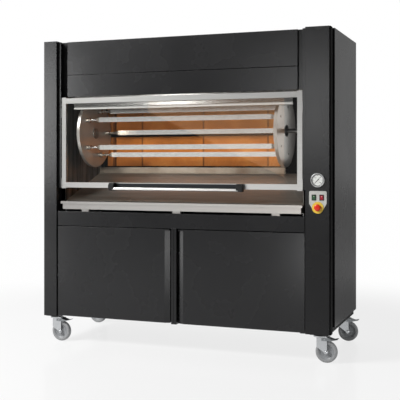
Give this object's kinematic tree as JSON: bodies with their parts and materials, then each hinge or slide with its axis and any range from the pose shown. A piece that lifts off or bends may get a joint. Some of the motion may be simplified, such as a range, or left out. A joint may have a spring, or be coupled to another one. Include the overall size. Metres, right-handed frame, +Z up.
{
  "type": "rotisserie oven",
  "caption": "Tall charcoal rotisserie oven on casters, with a lifting glass door, planetary spits between two discs, a drip tray and a two-door cabinet below.",
  "frame": {"origin": "on the floor, below the middle of the bounding box", "axes": "+Z up, the front with the glass door faces -Y, the drive and the controls are at +X"},
  "size_m": [1.912, 0.769, 1.945],
  "materials": {
    "charcoal_paint": "fine textured satin powder coat",
    "inner_black_paint": "matt heat-proof paint",
    "brushed_stainless": "brushed",
    "chamber_stainless": "brushed, heat-tinted",
    "polished_stainless": "polished",
    "machined_steel": "machined",
    "oven_glass": "clear toughened glass",
    "refractory_ceramic": "fired clay",
    "cast_iron": "cast",
    "zinc_plate": "zinc-plated",
    "wheel_rubber": "grey rubber",
    "black_plastic": "fine grain",
    "gauge_chrome": "polished",
    "needle_black": "matt black",
    "control_aluminium": "satin",
    "start_green": "gloss",
    "stop_red": "gloss"
  },
  "bodies": {
    "casing": {"chassis_frame": "inner_black_paint", "left_pillar": "charcoal_paint", "right_pillar": "charcoal_paint", "left_side_panel": "charcoal_paint", "right_side_panel": "charcoal_paint", "rear_panel": "charcoal_paint", "top_panel": "charcoal_paint", "flue_duct": "brushed_stainless", "hood_panels": "charcoal_paint", "apron_panel": "charcoal_paint", "cabinet_floor": "charcoal_paint", "door_guides": "charcoal_paint", "strut_cylinders": "inner_black_paint", "tray_runners": "brushed_stainless", "chamber_shell": "chamber_stainless", "roof_visor": "chamber_stainless", "refractory_tiles": "refractory_ceramic", "ember_trough": "chamber_stainless", "drip_slope": "chamber_stainless", "sun_gear": "machined_steel", "rotor_bearings": "cast_iron", "drive_chains": "machined_steel", "gear_motor": "cast_iron", "thermometer_case": "gauge_chrome", "control_plate": "control_aluminium", "switch_bezels": "black_plastic", "caster_plates": "inner_black_paint"},
    "door": {"door_frame": "brushed_stainless", "door_glass": "oven_glass", "handle_tube": "polished_stainless", "handle_blocks": "black_plastic", "strut_rods": "gauge_chrome"},
    "rotor": {"left_disc": "brushed_stainless", "right_disc": "brushed_stainless", "rotor_shafts": "machined_steel"},
    "spit_1": {"spit_1": "polished_stainless"},
    "spit_2": {"spit_2": "polished_stainless"},
    "spit_3": {"spit_3": "polished_stainless"},
    "spit_4": {"spit_4": "polished_stainless"},
    "spit_5": {"spit_5": "polished_stainless"},
    "lay_shaft": {"lay_shaft": "machined_steel"},
    "drip_tray": {"drip_tray": "brushed_stainless"},
    "left_cabinet_door": {"left_cabinet_door": "charcoal_paint"},
    "right_cabinet_door": {"right_cabinet_door": "charcoal_paint"},
    "start_rocker": {"start_rocker": "start_green"},
    "stop_rocker": {"stop_rocker": "stop_red"},
    "stop_button": {"stop_button": "stop_red"},
    "thermometer_needle": {"thermometer_needle": "needle_black"},
    "front_left_fork": {"front_left_fork": "zinc_plate"},
    "front_left_wheel": {"front_left_wheel": "wheel_rubber"},
    "front_left_pedal": {"front_left_pedal": "inner_black_paint"},
    "front_right_fork": {"front_right_fork": "zinc_plate"},
    "front_right_wheel": {"front_right_wheel": "wheel_rubber"},
    "front_right_pedal": {"front_right_pedal": "inner_black_paint"},
    "rear_left_fork": {"rear_left_fork": "zinc_plate"},
    "rear_left_wheel": {"rear_left_wheel": "wheel_rubber"},
    "rear_left_pedal": {"rear_left_pedal": "inner_black_paint"},
    "rear_right_fork": {"rear_right_fork": "zinc_plate"},
    "rear_right_wheel": {"rear_right_wheel": "wheel_rubber"},
    "rear_right_pedal": {"rear_right_pedal": "inner_black_paint"}
  },
  "joints": [
    {"name": "door_lift", "type": "slide", "parent": "casing", "child": "door", "axis": [0, 0, 1], "range_m": [0, 0.34]},
    {"name": "rotor_spin", "type": "hinge", "parent": "casing", "child": "rotor", "pos_m": [0, -0.0655, 1.325], "axis": [1, 0, 0], "continuous": true},
    {"name": "spit_1_spin", "type": "hinge", "parent": "rotor", "child": "spit_1", "pos_m": [0, -0.02668, 1.46989], "axis": [1, 0, 0], "continuous": true},
    {"name": "spit_2_spin", "type": "hinge", "parent": "rotor", "child": "spit_2", "pos_m": [0, -0.1913, 1.4067], "axis": [1, 0, 0], "continuous": true},
    {"name": "spit_3_spin", "type": "hinge", "parent": "rotor", "child": "spit_3", "pos_m": [0, -0.18207, 1.2306], "axis": [1, 0, 0], "continuous": true},
    {"name": "spit_4_spin", "type": "hinge", "parent": "rotor", "child": "spit_4", "pos_m": [0, -0.01175, 1.18496], "axis": [1, 0, 0], "continuous": true},
    {"name": "spit_5_spin", "type": "hinge", "parent": "rotor", "child": "spit_5", "pos_m": [0, 0.08429, 1.33285], "axis": [1, 0, 0], "continuous": true},
    {"name": "lay_shaft_spin", "type": "hinge", "parent": "casing", "child": "lay_shaft", "pos_m": [0, 0.2745, 1.325], "axis": [1, 0, 0], "continuous": true},
    {"name": "tray_slide", "type": "slide", "parent": "casing", "child": "drip_tray", "axis": [0, -1, 0], "range_m": [0, 0.42]},
    {"name": "left_door_swing", "type": "hinge", "parent": "casing", "child": "left_cabinet_door", "pos_m": [-0.813, -0.3475, 0.168], "axis": [0, 0, -1], "range_deg": [0, 95]},
    {"name": "right_door_swing", "type": "hinge", "parent": "casing", "child": "right_cabinet_door", "pos_m": [0.765, -0.3475, 0.168], "axis": [0, 0, 1], "range_deg": [0, 95]},
    {"name": "start_rocker_press", "type": "hinge", "parent": "casing", "child": "start_rocker", "pos_m": [0.83, -0.3645, 0.936], "axis": [-1, 0, 0], "range_deg": [0, 12]},
    {"name": "stop_rocker_press", "type": "hinge", "parent": "casing", "child": "stop_rocker", "pos_m": [0.874, -0.3645, 0.936], "axis": [-1, 0, 0], "range_deg": [0, 12]},
    {"name": "stop_button_push", "type": "slide", "parent": "casing", "child": "stop_button", "axis": [0, 1, 0], "range_m": [0, 0.004], "stiffness_N_per_m": 1500},
    {"name": "needle_turn", "type": "hinge", "parent": "casing", "child": "thermometer_needle", "pos_m": [0.852, -0.3715, 1.034], "axis": [0, 1, 0], "range_deg": [0, 270], "stiffness_Nm_per_rad": 0.002},
    {"name": "front_left_swivel", "type": "hinge", "parent": "casing", "child": "front_left_fork", "pos_m": [-0.858, -0.3105, 0.1527], "axis": [0, 0, 1], "continuous": true},
    {"name": "front_left_roll", "type": "hinge", "parent": "front_left_fork", "child": "front_left_wheel", "pos_m": [-0.82, -0.3105, 0.0625], "axis": [0, 1, 0], "continuous": true},
    {"name": "front_left_brake", "type": "hinge", "parent": "front_left_fork", "child": "front_left_pedal", "pos_m": [-0.828, -0.3105, 0.1337], "axis": [0, 1, 0], "range_deg": [0, 10]},
    {"name": "front_right_swivel", "type": "hinge", "parent": "casing", "child": "front_right_fork", "pos_m": [0.852, -0.3105, 0.1527], "axis": [0, 0, 1], "continuous": true},
    {"name": "front_right_roll", "type": "hinge", "parent": "front_right_fork", "child": "front_right_wheel", "pos_m": [0.89, -0.3105, 0.0625], "axis": [0, 1, 0], "continuous": true},
    {"name": "front_right_brake", "type": "hinge", "parent": "front_right_fork", "child": "front_right_pedal", "pos_m": [0.882, -0.3105, 0.1337], "axis": [0, 1, 0], "range_deg": [0, 10]},
    {"name": "rear_left_swivel", "type": "hinge", "parent": "casing", "child": "rear_left_fork", "pos_m": [-0.852, 0.3245, 0.1527], "axis": [0, 0, 1], "continuous": true},
    {"name": "rear_left_roll", "type": "hinge", "parent": "rear_left_fork", "child": "rear_left_wheel", "pos_m": [-0.89, 0.3245, 0.0625], "axis": [0, 1, 0], "continuous": true},
    {"name": "rear_left_brake", "type": "hinge", "parent": "rear_left_fork", "child": "rear_left_pedal", "pos_m": [-0.882, 0.3245, 0.1337], "axis": [0, -1, 0], "range_deg": [0, 10]},
    {"name": "rear_right_swivel", "type": "hinge", "parent": "casing", "child": "rear_right_fork", "pos_m": [0.852, 0.3245, 0.1527], "axis": [0, 0, 1], "continuous": true},
    {"name": "rear_right_roll", "type": "hinge", "parent": "rear_right_fork", "child": "rear_right_wheel", "pos_m": [0.89, 0.3245, 0.0625], "axis": [0, 1, 0], "continuous": true},
    {"name": "rear_right_brake", "type": "hinge", "parent": "rear_right_fork", "child": "rear_right_pedal", "pos_m": [0.882, 0.3245, 0.1337], "axis": [0, 1, 0], "range_deg": [0, 10]}
  ],
  "couplings": [
    {"joint": "spit_1_spin", "follows": "rotor_spin", "ratio": 3},
    {"joint": "spit_2_spin", "follows": "rotor_spin", "ratio": 3},
    {"joint": "spit_3_spin", "follows": "rotor_spin", "ratio": 3},
    {"joint": "spit_4_spin", "follows": "rotor_spin", "ratio": 3},
    {"joint": "spit_5_spin", "follows": "rotor_spin", "ratio": 3},
    {"joint": "lay_shaft_spin", "follows": "rotor_spin", "ratio": 1}
  ]
}
